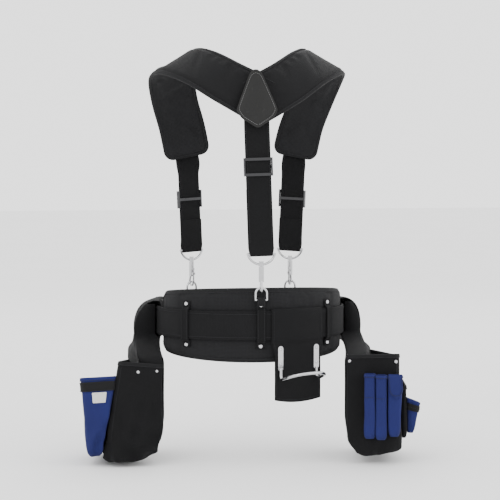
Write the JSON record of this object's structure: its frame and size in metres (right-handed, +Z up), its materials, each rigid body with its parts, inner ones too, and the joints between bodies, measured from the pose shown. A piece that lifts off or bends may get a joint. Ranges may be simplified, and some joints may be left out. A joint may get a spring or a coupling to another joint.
{
  "type": "tool belt",
  "caption": "Padded carpenter's tool belt with padded shoulder straps, back support pad, hammer holder and a pouch on each hip.",
  "frame": {"origin": "centre of the waist opening at mid-height of the belt webbing", "axes": "+Z up along the wearer's spine, +Y towards the wearer's front, so the back pad is at -Y"},
  "size_m": [0.6254, 0.334, 0.7376],
  "materials": {
    "belt_webbing": "woven webbing",
    "pad_fabric": "smooth coated fabric",
    "pad_lining": "spacer mesh",
    "foam": "closed foam",
    "binding": "edge tape",
    "leather": "pebbled black leather",
    "black_canvas": "heavy polyester canvas",
    "blue_canvas": "heavy polyester canvas",
    "label": "satin tape",
    "black_steel": "satin black",
    "chrome": "polished"
  },
  "bodies": {
    "belt": {"belt_webbing": "belt_webbing", "belt_eyelets": "chrome", "buckle_frame": "chrome", "belt_end_rivets": "chrome", "pad_lining": "pad_lining", "pad_foam": "foam", "pad_cover": "pad_fabric", "pad_binding": "binding", "belt_loop_left": "pad_fabric", "belt_loop_centre": "pad_fabric", "belt_loop_right": "pad_fabric", "loop_rivets": "chrome", "back_ring_tab": "binding", "left_ring_tab": "binding", "right_ring_tab": "binding", "back_strap": "belt_webbing", "left_front_strap": "belt_webbing", "right_front_strap": "belt_webbing", "back_strap_loop": "chrome", "left_strap_loop": "chrome", "right_strap_loop": "chrome", "left_shoulder_pad": "pad_fabric", "right_shoulder_pad": "pad_fabric", "yoke_patch": "leather", "yoke_backing": "leather"},
    "roller": {"buckle_roller": "chrome"},
    "tongues": {"buckle_tongues": "chrome"},
    "keeper": {"belt_keeper": "belt_webbing"},
    "hammer_holder": {"hammer_sleeve": "black_canvas", "hammer_panel": "black_canvas", "hammer_loop": "chrome", "hammer_rivets": "chrome"},
    "left_pouch": {"left_pouch_sleeve": "black_canvas", "left_pouch_back": "black_canvas", "left_pouch_pocket": "black_canvas", "left_blue_pocket": "blue_canvas", "left_pocket_band": "belt_webbing", "left_care_label": "label", "left_pouch_rivets": "chrome"},
    "right_pouch": {"right_pouch_sleeve": "black_canvas", "right_pouch_back": "black_canvas", "right_pouch_pocket": "black_canvas", "right_front_pocket": "black_canvas", "right_tube_pocket": "blue_canvas", "right_tool_sleeves": "blue_canvas", "right_corner_pocket": "blue_canvas", "right_pouch_rivets": "chrome"},
    "back_ring": {"back_d_ring": "chrome"},
    "back_snap_hook": {"back_hook": "chrome"},
    "back_hook_bolt": {"back_bolt": "chrome"},
    "back_strap_slider": {"back_slider": "black_steel"},
    "left_ring": {"left_d_ring": "chrome"},
    "left_snap_hook": {"left_hook": "chrome"},
    "left_hook_bolt": {"left_bolt": "chrome"},
    "left_strap_slider": {"left_slider": "black_steel"},
    "right_ring": {"right_d_ring": "chrome"},
    "right_snap_hook": {"right_hook": "chrome"},
    "right_hook_bolt": {"right_bolt": "chrome"},
    "right_strap_slider": {"right_slider": "black_steel"}
  },
  "joints": [
    {"name": "roller_spin", "type": "hinge", "parent": "belt", "child": "roller", "pos_m": [-0.022, 0.1432, 0], "axis": [0, 0, 1], "continuous": true},
    {"name": "tongue_lift", "type": "hinge", "parent": "belt", "child": "tongues", "pos_m": [0.0136, 0.137, 0], "axis": [0, 0, -1], "range_deg": [0, 8]},
    {"name": "keeper_slide", "type": "hinge", "parent": "belt", "child": "keeper", "pos_m": [0, -0.06044, 0], "axis": [0, 0, 1], "range_deg": [-1, 1.8]},
    {"name": "hammer_holder_slide", "type": "hinge", "parent": "belt", "child": "hammer_holder", "pos_m": [0, 0.06044, 0], "axis": [0, 0, 1], "range_deg": [-1, 1]},
    {"name": "left_pouch_slide", "type": "hinge", "parent": "belt", "child": "left_pouch", "pos_m": [-0.05, 0, 0], "axis": [0, 0, 1], "range_deg": [-4, 4]},
    {"name": "right_pouch_slide", "type": "hinge", "parent": "belt", "child": "right_pouch", "pos_m": [0.05, 0, 0], "axis": [0, 0, 1], "range_deg": [-4, 4]},
    {"name": "back_ring_tilt", "type": "hinge", "parent": "belt", "child": "back_ring", "pos_m": [0, -0.142, 0.046], "axis": [1, 0, 0], "range_deg": [-4, 4]},
    {"name": "back_hook_swivel", "type": "hinge", "parent": "belt", "child": "back_snap_hook", "pos_m": [0, -0.142, 0.106], "axis": [0, 0, 1], "range_deg": [-15, 15]},
    {"name": "back_bolt_pull", "type": "slide", "parent": "back_snap_hook", "child": "back_hook_bolt", "axis": [0, 0, 1], "range_m": [0, 0.007], "stiffness_N_per_m": 150},
    {"name": "back_slider_slide", "type": "slide", "parent": "belt", "child": "back_strap_slider", "axis": [-0.0266, 0.0664, 0.9974], "range_m": [-0.03, 0.03]},
    {"name": "left_ring_tilt", "type": "hinge", "parent": "belt", "child": "left_ring", "pos_m": [-0.09327, 0.12261, 0.036], "axis": [-0.891, -0.454, 0], "range_deg": [-4, 4]},
    {"name": "left_hook_swivel", "type": "hinge", "parent": "belt", "child": "left_snap_hook", "pos_m": [-0.09327, 0.12261, 0.096], "axis": [0, 0, 1], "range_deg": [-15, 15]},
    {"name": "left_bolt_pull", "type": "slide", "parent": "left_snap_hook", "child": "left_hook_bolt", "axis": [0, 0, 1], "range_m": [0, 0.007], "stiffness_N_per_m": 150},
    {"name": "left_slider_slide", "type": "slide", "parent": "belt", "child": "left_strap_slider", "axis": [-0.04, -0.0036, 0.9992], "range_m": [-0.03, 0.03]},
    {"name": "right_ring_tilt", "type": "hinge", "parent": "belt", "child": "right_ring", "pos_m": [0.09327, 0.12261, 0.036], "axis": [-0.891, 0.454, 0], "range_deg": [-4, 4]},
    {"name": "right_hook_swivel", "type": "hinge", "parent": "belt", "child": "right_snap_hook", "pos_m": [0.09327, 0.12261, 0.096], "axis": [0, 0, 1], "range_deg": [-15, 15]},
    {"name": "right_bolt_pull", "type": "slide", "parent": "right_snap_hook", "child": "right_hook_bolt", "axis": [0, 0, 1], "range_m": [0, 0.007], "stiffness_N_per_m": 150},
    {"name": "right_slider_slide", "type": "slide", "parent": "belt", "child": "right_strap_slider", "axis": [0.04, -0.0036, 0.9992], "range_m": [-0.03, 0.03]}
  ]
}
